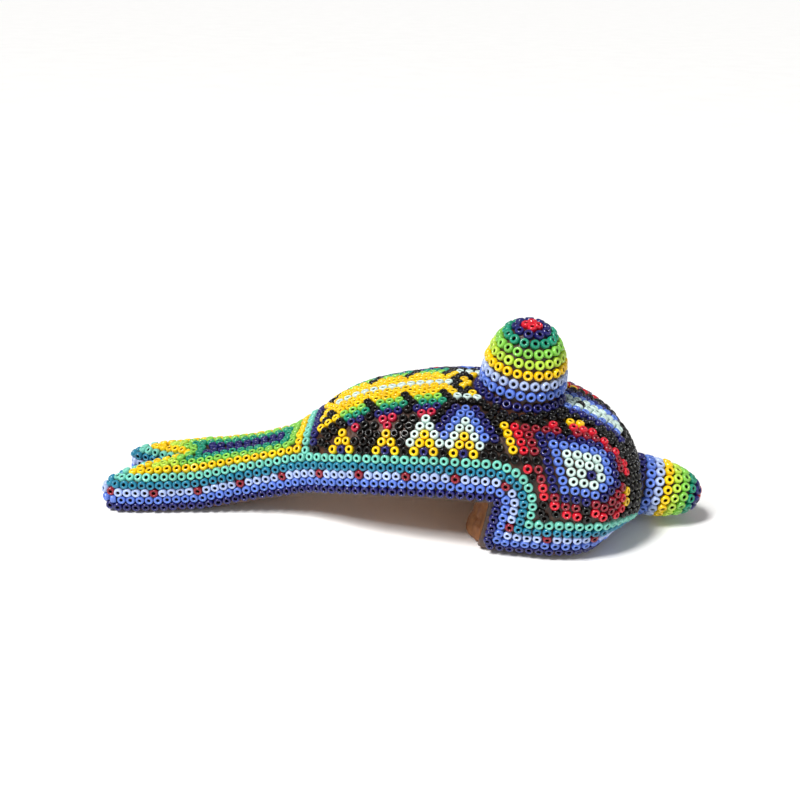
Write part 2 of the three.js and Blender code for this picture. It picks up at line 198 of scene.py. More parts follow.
def form(p, inset):
    """Signed distance from the figure's surface at some depth, negative inside."""
    body = smooth_max(trunk(p, inset), tail_plan(p, inset), TAIL_BLEND)
    body = smooth_min(body, dome_gap(FIN, p, inset), FIN["blend"])
    return smooth_min(body, dome_gap(BEAK, p, inset), BEAK["blend"])


def gradient(p, inset, step=0.05):
    g = np.empty_like(p)
    for axis in range(3):
        shift = np.zeros(3)
        shift[axis] = step
        g[:, axis] = (form(p + shift, inset) - form(p - shift, inset)) / (2 * step)
    return g


def settle(p, inset):
    """Moves points onto the surface and gives their outward normals."""
    p = np.array(p, float)
    for _ in range(4):
        g = gradient(p, inset)
        p -= (form(p, inset) / np.maximum((g * g).sum(1), 1e-6))[:, None] * g
    g = gradient(p, inset)
    return p, g / np.linalg.norm(g, axis=1)[:, None]


def beaded(p, margin=0.0):
    """Positive where beads cover the figure, in side view; zero on the edge of the beads."""
    x, z = p[:, 0], p[:, 2]
    flank = z - np.interp(x, FLANK_EDGE[:, 0], FLANK_EDGE[:, 1])
    (x1, z1), (x0, z0) = FLIPPER_REAR_TOP, FLIPPER_REAR_FOOT
    rear = x - (x0 + (z - z0) * (x1 - x0) / (z1 - z0))
    return np.maximum(flank, np.minimum(rear, z - z0)) + margin


# ---- meshes from the form -------------------------------------------------------------------------

def iso_mesh(distance, voxel, low, high):
    """Quads of the zero surface of a distance function."""
    low, high = np.array(low, float), np.array(high, float)
    shape = np.ceil((high - low) / voxel).astype(int) + 1
    grid = np.empty(shape, np.float32)
    y_steps, z_steps = (low[k] + voxel * np.arange(shape[k]) for k in (1, 2))
    ys, zs = np.meshgrid(y_steps, z_steps, indexing="ij")
    for i in range(shape[0]):
        p = np.stack([np.full(ys.size, low[0] + voxel * i), ys.ravel(), zs.ravel()], 1)
        grid[i] = distance(p).reshape(ys.shape)
    volume = openvdb.FloatGrid()
    volume.copyFromArray(grid)
    points, quads = volume.convertToQuads(isovalue=0.0)
    return low + voxel * points.astype(float), quads[:, ::-1].astype(int)


FORM_LOW, FORM_HIGH = (-73, -27, -11), (73, 27, 51)
FAR = 1e9                   # a distance not reached yet
MOST_PASSES = 600
SETTLED = 1e-4


def triangles_of(quads):
    return np.concatenate([quads[:, [0, 1, 2]], quads[:, [0, 2, 3]]])


class Skin:
    """The surface that the beads' middles lie on, with distances measured along it."""

    def __init__(self):
        points, quads = iso_mesh(lambda p: form(p, BEAD_SEAT), SKIN_VOXEL, FORM_LOW, FORM_HIGH)
        self.points, self.normals = settle(points, BEAD_SEAT)
        self.tris = triangles_of(quads)
        self.corners = []
        for k in range(3):
            c, a, b = (self.tris[:, (k + j) % 3] for j in range(3))
            ea, eb = self.points[a] - self.points[c], self.points[b] - self.points[c]
            aa, bb, ab = (ea * ea).sum(1), (eb * eb).sum(1), (ea * eb).sum(1)
            det = np.maximum(aa * bb - ab * ab, 1e-9)
            self.corners.append((c, a, b, np.sqrt(aa), np.sqrt(bb), bb / det, aa / det, -ab / det))

    def crossings(self, level, allowed=None):
        """Mesh edges on which a value per point changes sign, with where it does."""
        edges = np.concatenate([self.tris[:, [0, 1]], self.tris[:, [1, 2]], self.tris[:, [2, 0]]])
        edges = np.unique(np.sort(edges, 1), axis=0)
        va, vb = level[edges[:, 0]], level[edges[:, 1]]
        hit = (va < 0) != (vb < 0)
        if allowed is not None:
            hit &= allowed[edges].all(1)
        edges, t = edges[hit], (va / np.where(va == vb, 1, va - vb))[hit]
        return edges, t

    def distance_from(self, level, allowed=None):
        """Distance along the surface from the line on which level is zero."""
        value = np.full(len(self.points), FAR)
        edges, t = self.crossings(level, allowed)
        length = np.linalg.norm(self.points[edges[:, 0]] - self.points[edges[:, 1]], axis=1)
        slope = self.slope_of(level)
        for end in (0, 1):
            i = edges[:, end]
            np.minimum.at(value, i, np.minimum(np.abs(level[i]) / slope[i], length))
        moving = value < FAR
        if allowed is not None:
            value[~allowed] = FAR
        for _ in range(MOST_PASSES):
            live = moving[self.tris].any(1)
            before = value.copy()
            for c, a, b, la, lb, qa, qb, qab in self.corners:
                c, a, b, la, lb, qa, qb, qab = (v[live] for v in (c, a, b, la, lb, qa, qb, qab))
                ta, tb = value[a], value[b]
                best = np.minimum(ta + la, tb + lb)
                both = (ta < FAR) & (tb < FAR)
                one = qa + 2 * qab + qb
                mixed = (qa + qab) * ta + (qb + qab) * tb
                square = qa * ta * ta + 2 * qab * ta * tb + qb * tb * tb - 1
                root = mixed * mixed - one * square
                t_new = (mixed + np.sqrt(np.maximum(root, 0))) / one
                ga = qa * (ta - t_new) + qab * (tb - t_new)
                gb = qab * (ta - t_new) + qb * (tb - t_new)
                good = both & (root > 0) & (ga < 0) & (gb < 0)
                best = np.where(good, t_new, best)
                if allowed is not None:
                    best = np.where(allowed[c], best, FAR)
                np.minimum.at(value, c, best)
            moving = value < before - SETTLED
            if not moving.any():
                break
        return value

    def slope_of(self, level):
        """How fast a value changes along the surface, at each point."""
        total = np.zeros((len(self.points), 3))
        a, b, c = (self.points[self.tris[:, j]] for j in range(3))
        normal = np.cross(b - a, c - a)
        area = np.maximum((normal * normal).sum(1), 1e-12)
        la, lb, lc = (level[self.tris[:, j]] for j in range(3))
        grad = (
            la[:, None] * np.cross(normal, c - b) + lb[:, None] * np.cross(normal, a - c)
            + lc[:, None] * np.cross(normal, b - a)
        ) / area[:, None]
        for j in range(3):
            np.add.at(total, self.tris[:, j], grad)
        count = np.bincount(self.tris.ravel(), minlength=len(self.points))
        return np.maximum(np.linalg.norm(total / count[:, None], axis=1), 0.2)

    def contours(self, value, at, where=None):
        """The lines on which a value per point equals a number, as lists of places."""
        level = value - at
        level = np.where(level == 0, 1e-9, level)
        corner = level[self.tris]
        reached = (np.abs(corner) < FAR / 1000).all(1)
        crossed = reached & (corner < 0).any(1) & (corner > 0).any(1)
        if where is not None:
            crossed &= where[self.tris].all(1)
        links = {}
        places = {}
        for tri, vals in zip(self.tris[crossed], corner[crossed]):
            ends = []
            for j in range(3):
                k = (j + 1) % 3
                if (vals[j] < 0) != (vals[k] < 0):
                    key = (min(tri[j], tri[k]), max(tri[j], tri[k]))
                    if key not in places:
                        t = vals[j] / (vals[j] - vals[k])
                        places[key] = self.points[tri[j]] * (1 - t) + self.points[tri[k]] * t
                    ends.append(key)
            links.setdefault(ends[0], []).append(ends[1])
            links.setdefault(ends[1], []).append(ends[0])
        lines = []
        unused = set(links)
        starts = [k for k in links if len(links[k]) == 1]
        for start in starts + sorted(links):
            if start not in unused:
                continue
            chain = [start]
            unused.discard(start)
            while True:
                onward = [k for k in links[chain[-1]] if k in unused]
                if not onward:
                    break
                chain.append(onward[0])
                unused.discard(onward[0])
            if chain[0] in links[chain[-1]] and len(chain) > 2:
                chain.append(chain[0])
            lines.append(np.array([places[k] for k in chain]))
        return [line for line in lines if len(line) > 2]


# ---- placing beads --------------------------------------------------------------------------------

class Beads:
    """The beads placed so far, found by where they are."""

    CELL = 2.6
    NONE_NEAR = 9.0

    def __init__(self):
        self.place, self.colour, self.node, self.size = [], [], [], []
        self.cells = {}

    def key(self, p):
        return tuple(int(math.floor(v / self.CELL)) for v in p)

    def nearest(self, p):
        kx, ky, kz = self.key(p)
        best = self.NONE_NEAR
        for dx in (-1, 0, 1):
            for dy in (-1, 0, 1):
                for dz in (-1, 0, 1):
                    for i in self.cells.get((kx + dx, ky + dy, kz + dz), ()):
                        best = min(best, math.dist(p, self.place[i]))
        return best

    def add(self, p, colour, node, size=1.0):
        self.cells.setdefault(self.key(p), []).append(len(self.place))
        self.place.append(tuple(p))
        self.colour.append(colour)
        self.node.append(node)
        self.size.append(size)


beads = Beads()
CLOSEST = 0.86 * PITCH      # beads closer than this would run into each other
SNUG = 0.96 * PITCH         # the least step to the next bead of a course
STEPS = (1.0, 0.96, 1.04, 1.08)
CLOSED_GAP = 0.9 * PITCH    # left between the last and first bead of a closed course
STEP_BIAS = 0.02            # how much an early step in the list is favoured
SEEK = 0.1                  # step of the search for the next free place
SHORTEST_ROW = 8            # points in a contour that is worth a row of beads
OFF_RIDGE = 0.3             # one side's own points keep this far from the middle


class Line:
    """A course's path, read by distance along it."""

    def __init__(self, points):
        self.points = np.asarray(points)
        steps = np.linalg.norm(np.diff(self.points, axis=0), axis=1)
        self.run = np.concatenate([[0], np.cumsum(steps)])
        self.length = self.run[-1]
        self.closed = np.linalg.norm(self.points[0] - self.points[-1]) < 1e-6

    def at(self, s):
        return np.array([np.interp(s, self.run, self.points[:, k]) for k in range(3)])

    def beside(self, value):
        """Distance along the line to its point with the least value."""
        return self.run[int(np.argmin(value))]

    def turned(self, value):
        """The same closed line, starting at its point with the least value."""
        if not self.closed:
            return self
        i = int(np.argmin(value))
        return Line(np.concatenate([self.points[i:-1], self.points[:i + 1]]))

    def eased(self, times=3):
        """The same line with the mesh's unevenness taken out."""
        p = self.points.copy()
        for _ in range(times):
            p[1:-1] = 0.25 * p[:-2] + 0.5 * p[1:-1] + 0.25 * p[2:]
        return Line(p)


def side_of(p):
    return "right" if p[1] < 0 else "left"


def rows(value, at, where, along=(1.0, 0.0, 0.0), easing=3):
    """The lines on which a value equals a number, each running along a direction."""
    for points in skin.contours(value, at, where):
        if len(points) >= SHORTEST_ROW:
            forward = (points[-1] - points[0]) @ np.asarray(along) > 0
            yield Line(points if forward else points[::-1]).eased(easing)


def nestle(line, closest=CLOSEST):
    """Places along a line for beads that fit beside the ones already laid."""
    found = []
    limit = line.length - (CLOSED_GAP if line.closed else 0)
    s, last = 0.0, None
    while s <= limit:
        best = None
        tries = [s] if last is None else [last + PITCH * f for f in STEPS]
        for n, t in enumerate(tries):
            if t > limit:
                continue
            gap = beads.nearest(line.at(t))
            score = min(gap, PITCH) - STEP_BIAS * n
            if gap >= closest and (best is None or score > best[0]):
                best = (score, t)
        if best is None:
            s = (last + SNUG if last is not None and s <= last + SNUG else s) + SEEK
            last = None
            continue
        last = best[1]
        found.append(line.at(last))
        s = last + SNUG
    return found


def lattice(line, anchor, phase, paint, pitch=PITCH, closest=CLOSEST):
    """Lays beads at fixed steps from an anchor where there is room; paint is asked about each column."""
    first = math.ceil(-anchor / pitch - phase)
    last = math.floor((line.length - anchor) / pitch - phase)
    for column in sorted(range(first, last + 1), key=abs):
        p = line.at(anchor + (column + phase) * pitch)
        look = paint(column, p)
        if look is not None and beads.nearest(p) >= closest:
            beads.add(p, *look)


skin = Skin()
x, y, z = skin.points.T
edge = beaded(skin.points)
from_edge = skin.distance_from(edge)
from_edge = np.where(edge < 0, -from_edge, from_edge)
_, fin_up = dome_coordinates(FIN, skin.points)
_, beak_up = dome_coordinates(BEAK, skin.points)


# Courses round the border, from the edge inwards.
BORDER = ("navy", "blue", "pale", "teal", "turquoise")
RED_COURSE = "pale"         # the course with a dark red bead every so often, one of them at this place
RED_EVERY = 5
RED_AT = np.array((3.4, -20.6, 16.9))
START_Y = -3.0              # each course starts at its rearmost point near this
SHORTEST_COURSE = 60.0

for k, colour in enumerate(BORDER):
    for points in skin.contours(from_edge, (k + 0.5) * ROW):
        line = Line(points).eased()
        if line.length < SHORTEST_COURSE:
            continue
        line = line.turned(line.points[:, 0] * 3 + np.abs(line.points[:, 1] - START_Y))
        spots = nestle(line)
        red = int(np.argmin([np.linalg.norm(p - RED_AT) for p in spots]))
        for n, p in enumerate(spots):
            shown = "dark_red" if colour == RED_COURSE and (n - red) % RED_EVERY == 0 else colour
            beads.add(p, shown, f"border_{colour}_{side_of(p)}")


# The tail's top, closed off where the body's pattern starts, then two courses across the body.
LOBES_END = -52.0           # the lime course is yellow-green behind this
inside_tail = np.minimum(from_edge, BORDER_ROWS * ROW + (RING_X - x))
for k, colour in enumerate(("yellow", "lime", "green", "navy")):
    level = (BORDER_ROWS + k + 0.5) * ROW
    for points in skin.contours(inside_tail, level):
        line = Line(points).eased()
        spots = nestle(line.turned(np.abs(line.points[:, 0] - NOTCH_X)))
        for p in spots:
            shown = "yellow_green" if colour == "lime" and p[0] < LOBES_END else colour
            beads.add(p, shown, f"tail_top_{colour}")
within_border = from_edge > BORDER_ROWS * ROW - 0.4
for k, colour in enumerate(("turquoise", "navy")):
    for points in skin.contours(x - RING_X, (k + 0.5) * ROW, within_border):
        for p in nestle(Line(points).eased()):
            beads.add(p, colour, f"ring_across_{colour}")


# Rings round the fin and the beak, with a few red beads on the tip.
DOME_COLOURS = ("navy", "blue", "pale", "yellow", "yellow_green", "lime", "green", "navy")
DOME_NODES = ("navy", "blue", "pale", "yellow", "yellowGreen", "lime", "green", "navy")
DOME_SIZE = 1.08            # the beads here are a little larger
RINGS = 8
LOWEST_RING = 0.055         # as a share of the way from the base to the tip
TIP_RING = 1.45             # from the tip to the last, red ring
RED_TIP_COUNT = 4


def dome_rings(dome, name, pitch, drop=0.0, nod=0.0):
    """The lowest ring lies drop below the dome's base, and the rings lean towards the near side by nod."""
    base, axis = dome_frame(dome)
    axis = axis - np.array((0.0, nod, 0.0))
    axis /= np.linalg.norm(axis)
    front = np.cross((0.0, 1.0, 0.0), axis)
    front /= np.linalg.norm(front)
    side = np.cross(axis, front)
    theta = np.linspace(0, math.pi / 2, 400)
    out = dome["radius"] * np.cos(theta) ** (2 / dome["power"])
    up = dome["height"] * np.sin(theta) ** (2 / dome["power"])
    run = np.concatenate([[0], np.cumsum(np.hypot(np.diff(out), np.diff(up)))])
    turns = np.linspace(0, 2 * math.pi, 181)
    lowest = LOWEST_RING * run[-1] - drop
    for i in range(RINGS + 1):
        s = lowest + i / RINGS * (run[-1] - TIP_RING - lowest)
        radius, height = np.interp(s, run, out), np.interp(s, run, up) + min(s, 0)
        around = np.cos(turns)[:, None] * front + np.sin(turns)[:, None] * side
        ring = base + axis * height + radius * around
        ring, _ = settle(ring, BEAD_SEAT)
        line = Line(ring)
        if i == RINGS:
            count, colour, node = RED_TIP_COUNT, "red", f"{name}_tip_red"
        else:
            count, colour = int(round(line.length / pitch)), DOME_COLOURS[i]
            node = f"{name}_ring_{i + 1}_{DOME_NODES[i]}"
        start = 0.5 * (i % 2) if name == "fin" else 0.0
        for n in range(count):
            beads.add(line.at((n + start) / count * line.length), colour, node, DOME_SIZE)


dome_rings(FIN, "fin", pitch=2.33, drop=1.8, nod=0.09)
dome_rings(BEAK, "beak", pitch=2.25)


# The flank's panel of triangles, from the turquoise course up. Each row has its first column, its shift in
# beads and its colours. Columns are counted from the middle of the large triangle nearest the head.
PANEL_X = 14.6
PANEL = (
    (-14, 0.0, "YNY..YNYKYNYKYNYK"),
    (-14, 0.5, "YY...YY.WYYWWYYW."),
    (-14, 0.0, ".Y....Y..WYWBWYWBN"),
    (-5, 0.5, "WWNBWWBN"),
    (-4, 0.0, "W.NBWBN"),
    (-2, 0.5, "NBBN"),
    (-1, 0.0, "NBN"),
)
LETTERS = dict(Y="yellow", N="navy", K="black", W="white", B="blue", R="red", D="dark_red")


def read_chart(first, letters, column):
    """The letter at a column of a chart's row, or None where the chart is silent."""
    i = column - first
    return letters[i] if 0 <= i < len(letters) and letters[i] in LETTERS else None


def panel_paint(first, letters):
    def paint(column, p):
        kind = read_chart(first, letters, column)
        return kind and (LETTERS[kind], f"side_panel_{side_of(p)}")
    return paint


ahead_of_tail = x > RING_X + 2 * ROW - 0.6
torso = ahead_of_tail & (x < 30) & (fin_up < 6)
back = ahead_of_tail & (x < 20) & (z > 14)
crown = (x > 36) & (x < 50) & (z > 20)
for k, (first, phase, letters) in enumerate(PANEL):
    for side in (-1, 1):
        for row in rows(from_edge, (BORDER_ROWS + k + 0.5) * ROW, torso & (y * side > 0.5)):
            anchor = row.beside(np.abs(row.points[:, 0] - PANEL_X))
            lattice(row, anchor, phase, panel_paint(first, letters))


# The back: courses beside the ridge, broken by slanting black marks, with crimson beads under them.
from_ridge = skin.distance_from(y, allowed=z > 8)
MARK_X = -6.4
MARK_EVERY = 4
BACK_START = -13.5          # behind this the marks give way to a mix of yellow and black
BACK_END = 10.5             # and from here on to one beside the fin
RIDGE_START = -15.0
CRIMSON_FROM, CRIMSON_TO = -12.0, 9.5
YELLOW_ROWS = 3
GREEN_ROWS = {4: "lime", 5: "green", 6: "navy"}
BACK_ROWS = 9
BACK_CLOSEST = 0.82 * PITCH


def yellow_bead(j, column, along):
    """A bead of the ridge's three yellow courses."""
    if along > BACK_END + 1.2 * (j - 2):
        return "black" if (column + j) % 3 == 0 or (j == 2 and column % 2) else "yellow"
    marked = j == YELLOW_ROWS and (column + 1) % MARK_EVERY == 0
    mixed = along < BACK_START and (column + j) % 3 == 0
    return "black" if marked or mixed else "yellow"


def green_bead(j, column, along):
    """A bead of the lime, green and navy courses below them."""
    if along < BACK_START:
        return "yellow" if j == 4 else "black"
    if along > BACK_END + 0.5:
        return "white" if j == 4 else "black"
    return "black" if column % MARK_EVERY == 0 else GREEN_ROWS[j]


def back_paint(j):
    def paint(column, p):
        along = p[0]
        if j == 0:
            mixed = "yellow" if column % 3 else "black"
            return ("white" if RIDGE_START < along < BACK_END else mixed), "back_ridge_white"
        if j <= YELLOW_ROWS:
            return yellow_bead(j, column, along), f"back_yellow_{side_of(p)}"
        if j in GREEN_ROWS:
            return green_bead(j, column, along), f"back_greens_{side_of(p)}"
        crimson = column % MARK_EVERY in ((1, 2) if j == 7 else (2,))
        if crimson and CRIMSON_FROM <= along <= CRIMSON_TO:
            return "crimson", f"back_greens_{side_of(p)}"
        return None
    return paint


def ridge_rows(j, where):
    """The courses j beads away from the ridge: one on it, or one on each side of it."""
    if j == 0:
        yield from rows(y, 0.0, where)
        return
    for side in (-1, 1):
        yield from rows(from_ridge, j * ROW, where & (y * side > OFF_RIDGE))


for j in range(BACK_ROWS):
    for row in ridge_rows(j, back):
        anchor = row.beside(np.abs(row.points[:, 0] - MARK_X))
        lattice(row, anchor, 0.5 * (j % 2), back_paint(j), closest=BACK_CLOSEST)


# The eye on each cheek: courses sloping down towards the beak, each half shifted against the one above.
EYE = np.array((36.3, -20.0, 25.3))
EYE_ALONG = np.array((0.955, 0.17, -0.20))
EYE_PITCH = 2.27
EYE_ROW = 1.92
EYE_SHIFT = 0.26
EYE_CLOSEST = 0.80 * PITCH
EYE_CHART = {
    -5: (2, "YY"),
    -4: (-1, "KRKRRR"),
    -3: (-5, "YRDDDDKDDDR"),
    -2: (-5, "YRDNNNNNNNDR"),
    -1: (-5, "YRDNBBBBBBNDR"),
    0: (-5, "YRDNBWWWWBNDR"),
    1: (-5, "KKKNBWWWWBNKK"),
    2: (-4, "RDNBWWNWBNDY"),
    3: (-4, "KDNBWWWBNDRY"),
    4: (-3, "RNBBBBNDDR"),
    5: (-3, "RDNNNDDDRR"),
    6: (-3, "KRDDKRRRR"),
    7: (-2, "KRRKYYY"),
}
EYE_NODES = dict(W="white", B="blue", N="navy", R="red", D="red", Y="red", K="black")


def eye_paint(first, letters):
    def paint(column, p):
        kind = read_chart(first, letters, column)
        if kind is None:
            return None
        name = EYE_NODES[kind]
        return LETTERS[kind], "head_black" if name == "black" else f"eye_{name}_{side_of(p)}"
    return paint


for side in (-1, 1):
    mirror = np.array((1, -side, 1))
    origin = EYE * mirror
    along = EYE_ALONG / np.linalg.norm(EYE_ALONG) * mirror
    facing = gradient(origin[None], BEAD_SEAT)[0]
    facing = facing / np.linalg.norm(facing)
    along = along - facing * (along @ facing)
    along /= np.linalg.norm(along)
    upward = np.cross(facing, along) * side
    upward = upward if upward[2] > 0 else -upward
    height = (skin.points - origin) @ upward
    own = (y * side > OFF_RIDGE) & (x > 15) & (z > 2)
    course = skin.distance_from(height, allowed=own)
    course = np.where(height > 0, course, -course)
    for r, (first, letters) in EYE_CHART.items():
        for row in rows(course, -r * EYE_ROW, own, along, easing=4):
            anchor = row.beside(np.abs((row.points - origin) @ along))
            lattice(row, anchor, EYE_SHIFT * r, eye_paint(first, letters), EYE_PITCH, EYE_CLOSEST)


# The crown in front of the fin.
CROWN_START = 1.0           # from the end of each course to its first column
CROWN_BLACK = 2             # column of the one black bead on the ridge


def crown_paint(j, colour):
    def paint(column, p):
        return "black" if j == 0 and column == CROWN_BLACK else colour, "crown_white"
    return paint


for j, colour in enumerate(("white", "white", "blue", "navy")):
    for row in ridge_rows(j, crown):
        lattice(row, CROWN_START, 0.5 * (j % 2), crown_paint(j, colour))


# Black beads everywhere that is still bare wax.
HEAD_X = 20.0               # the black beads ahead of this belong to the head
FILL_ROWS = 20
FILL_CLOSEST = 0.90 * PITCH
SPARE_CLOSEST = 0.84 * PITCH
SPARE_SIZE = 0.92


def black_node(p):
    return "head_black" if p[0] > HEAD_X else f"side_panel_{side_of(p)}"


bare = x > RING_X + 1.5 * ROW
for k in range(BORDER_ROWS, FILL_ROWS):
    for points in skin.contours(from_edge, (k + 0.5) * ROW, bare):
        for p in nestle(Line(points), FILL_CLOSEST):
            beads.add(p, "black", black_node(p))

# Slightly smaller beads in the gaps that are left, in their neighbour's colour on the tail.
spare = skin.points[(from_edge > 0.3 * ROW) & (beak_up < BEAK["height"] - 2)]
for p in spare[rng.permutation(len(spare))]:
    if beads.nearest(p) >= SPARE_CLOSEST:
        if p[0] < RING_X:
            near = min(range(len(beads.place)), key=lambda i: math.dist(p, beads.place[i]))
            beads.add(p, beads.colour[near], beads.node[near], SPARE_SIZE)
        else:
            beads.add(p, "black", black_node(p), SPARE_SIZE)


# ---- materials ------------------------------------------------------------------------------------

def linear(hex_colour):
    values = [int(hex_colour[i:i + 2], 16) / 255 for i in (0, 2, 4)]
    return [v / 12.92 if v <= 0.04045 else ((v + 0.055) / 1.055) ** 2.4 for v in values]


def shaded(colour, factor):
    return [min(c * factor, 1.0) for c in colour] + [1.0]


class Look:
    """A procedural material being wired up."""

    def __init__(self, name):
        self.material = bpy.data.materials.new(name)
        self.material.use_nodes = True
        self.nodes = self.material.node_tree.nodes
        self.links = self.material.node_tree.links
        self.shader = self.nodes["Principled BSDF"]
        self.place = self.nodes.new("ShaderNodeTexCoord").outputs["Object"]

    def node(self, kind, inputs=None, **settings):
        node = self.nodes.new(kind)
        for key, value in settings.items():
            setattr(node, key, value)
        for key, value in (inputs or {}).items():
            if isinstance(value, bpy.types.NodeSocket):
                self.links.new(value, node.inputs[key])
            else:
                node.inputs[key].default_value = value
        return node

    def stretched(self, scale):
        return self.node("ShaderNodeMapping", {"Vector": self.place, "Scale": scale}).outputs["Vector"]

    def noise(self, scale, detail=3.0, roughness=0.55, place=None):
        return self.node("ShaderNodeTexNoise", {
            "Vector": place or self.place, "Scale": scale, "Detail": detail, "Roughness": roughness,
        }).outputs["Fac"]

    def span(self, value, low, high, to_low=0.0, to_high=1.0):
        return self.node("ShaderNodeMapRange", {
            "Value": value, "From Min": low, "From Max": high, "To Min": to_low, "To Max": to_high,
        }).outputs["Result"]

    def mix(self, factor, a, b, blend="MIX"):
        node = self.nodes.new("ShaderNodeMix")
        node.data_type = "RGBA"
        node.blend_type = blend
        for socket, value in ((node.inputs[0], factor), (node.inputs[6], a), (node.inputs[7], b)):
            if isinstance(value, bpy.types.NodeSocket):
                self.links.new(value, socket)
            else:
                socket.default_value = value
        return node.outputs[2]

    def attribute(self, name):
        return self.node("ShaderNodeAttribute", attribute_name=name).outputs["Fac"]

    def bump(self, height, strength, distance):
        return self.node("ShaderNodeBump", {
            "Height": height, "Strength": strength, "Distance": distance,
        }).outputs["Normal"]

    def finish(self, **inputs):
        for key, value in inputs.items():
            socket = self.shader.inputs[key.replace("_", " ")]
            if isinstance(value, bpy.types.NodeSocket):
                self.links.new(value, socket)
            else:
                socket.default_value = value
        return self.material


# Each glass's colour and roughness, and its index of refraction where that isn't the usual one.
GLASS = dict(
    navy=("1e1e66", 0.16), blue=("5f7fd8", 0.17), pale=("adbfea", 0.18), teal=("237f9e", 0.17),
    turquoise=("74ccb8", 0.18), yellow=("ffcb00", 0.20), yellow_green=("b9da45", 0.18), lime=("84ca4c", 0.18),
    green=("17906f", 0.16), red=("d9182f", 0.17), dark_red=("8e1829", 0.16), crimson=("bd2140", 0.17),
    white=("cfe6df", 0.22), black=("0b0908", 0.13, 1.36),
)


def glass(name, hex_colour, roughness, index=1.48):
    """Opaque seed-bead glass: each bead a little lighter or darker, with painted shade turning the wall down
    the hole near-black.
    """
    look = Look(name)
    colour = linear(hex_colour)
    shade = look.attribute("shade")
    body = look.mix(look.span(shade, 0, 1), shaded(colour, 0.78), shaded(colour, 1.16))
    cloud = look.span(look.noise(900.0, 2.0), 0.35, 0.7)
    body = look.mix(cloud, body, look.mix(0.5, body, shaded(colour, 0.9)))
    dust = look.span(look.noise(240.0, 4.0), 0.56, 0.75, 0.0, 0.06)
    body = look.mix(dust, body, shaded(linear("8f8478"), 1.0))
    # Painted shade: the wall down each bead's hole is mixed towards near-black.
    body = look.mix(look.attribute("hole_shade"), body, shaded(linear("0d0907"), 1.0))
    rough = look.span(look.noise(500.0, 3.0), 0.3, 0.7, roughness - 0.05, roughness + 0.13)
    normal = look.bump(look.noise(1500.0, 3.0), 0.10, 0.0002)
    return look.finish(
        Base_Color=body, Roughness=rough, Normal=normal, IOR=index, Coat_Weight=0.2, Coat_Roughness=0.06,
    )


def wax_look():
    look = Look("beeswax_coat")
    patch = look.span(look.noise(160.0, 5.0), 0.35, 0.68)
    body = look.mix(patch, shaded(linear("1f100a"), 1.0), shaded(linear("43210e"), 1.0))
    specks = look.span(look.noise(700.0, 3.0), 0.55, 0.72)
    body = look.mix(specks, body, shaded(linear("5e3213"), 1.0))
    rough = look.span(look.noise(300.0, 3.0), 0.3, 0.7, 0.34, 0.6)
    height = look.mix(0.5, look.noise(420.0, 4.0), look.noise(1300.0, 3.0))
    normal = look.bump(height, 0.55, 0.0006)
    return look.finish(Base_Color=body, Roughness=rough, Normal=normal, Coat_Weight=0.12)


def wood_look():
    look = Look("carved_wood")
    grain_place = look.stretched((260.0, 420.0, 38.0))
    grain = look.noise(3.2, 6.0, 0.62, grain_place)
    wide = look.noise(1.0, 3.0, 0.5, look.stretched((90.0, 110.0, 22.0)))
    body = look.mix(look.span(wide, 0.3, 0.7), shaded(linear("8a5626"), 1.0), shaded(linear("bd8a50"), 1.0))
    body = look.mix(look.span(grain, 0.46, 0.68), body, shaded(linear("6a3f1b"), 1.0))
    stain = look.span(look.noise(75.0, 4.0), 0.45, 0.72, 0.0, 0.75)
    body = look.mix(stain, body, shaded(linear("7a3f12"), 1.0))
    waxy = look.attribute("waxed")
    body = look.mix(waxy, body, shaded(linear("70360f"), 1.0))
    rough = look.span(grain, 0.3, 0.7, 0.62, 0.42)
    cuts = look.noise(1.0, 2.0, 0.5, look.stretched((420.0, 520.0, 150.0)))
    height = look.mix(0.45, grain, cuts)
    normal = look.bump(height, 0.6, 0.0007)
    return look.finish(Base_Color=body, Roughness=rough, Normal=normal, Coat_Weight=0.08)


# ---- pieces ---------------------------------------------------------------------------------------

def add_piece(name, points, quads, material, nodes, values=None):
    """A mesh object in metres, standing for CAD nodes."""
    mesh = bpy.data.meshes.new(name)
    mesh.vertices.add(len(points))
    mesh.vertices.foreach_set("co", (np.asarray(points) * MM).astype(np.float32).ravel())
    quads = np.asarray(quads, np.int32)
    mesh.loops.add(quads.size)
    mesh.loops.foreach_set("vertex_index", quads.ravel())
    mesh.polygons.add(len(quads))
    mesh.polygons.foreach_set("loop_start", np.arange(0, quads.size, 4, dtype=np.int32))
    mesh.update(calc_edges=True)
    mesh.validate()
    mesh.shade_smooth()
    for key, value in (values or {}).items():
        layer = mesh.attributes.new(key, "FLOAT", "POINT")
        layer.data.foreach_set("value", np.asarray(value, np.float32))
    mesh.materials.append(material)
    piece = bpy.data.objects.new(name, mesh)
    bpy.context.scene.collection.objects.link(piece)
    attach(piece, "root")
    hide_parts(*nodes)


AROUND, ACROSS = 20, 10     # faces round a bead's hole, and round its own section
SIDE_POWER, END_POWER = 0.92, 0.86      # below 1, the section is a little squarer than an ellipse

# How unevenly the beads are made and pressed in.
LEAN_SPREAD = 0.07
SIZE_SPREAD = 0.025
HEIGHT_SPREAD = 0.06
LIFT_SPREAD = 0.05
SHADE_SPREAD = 0.2


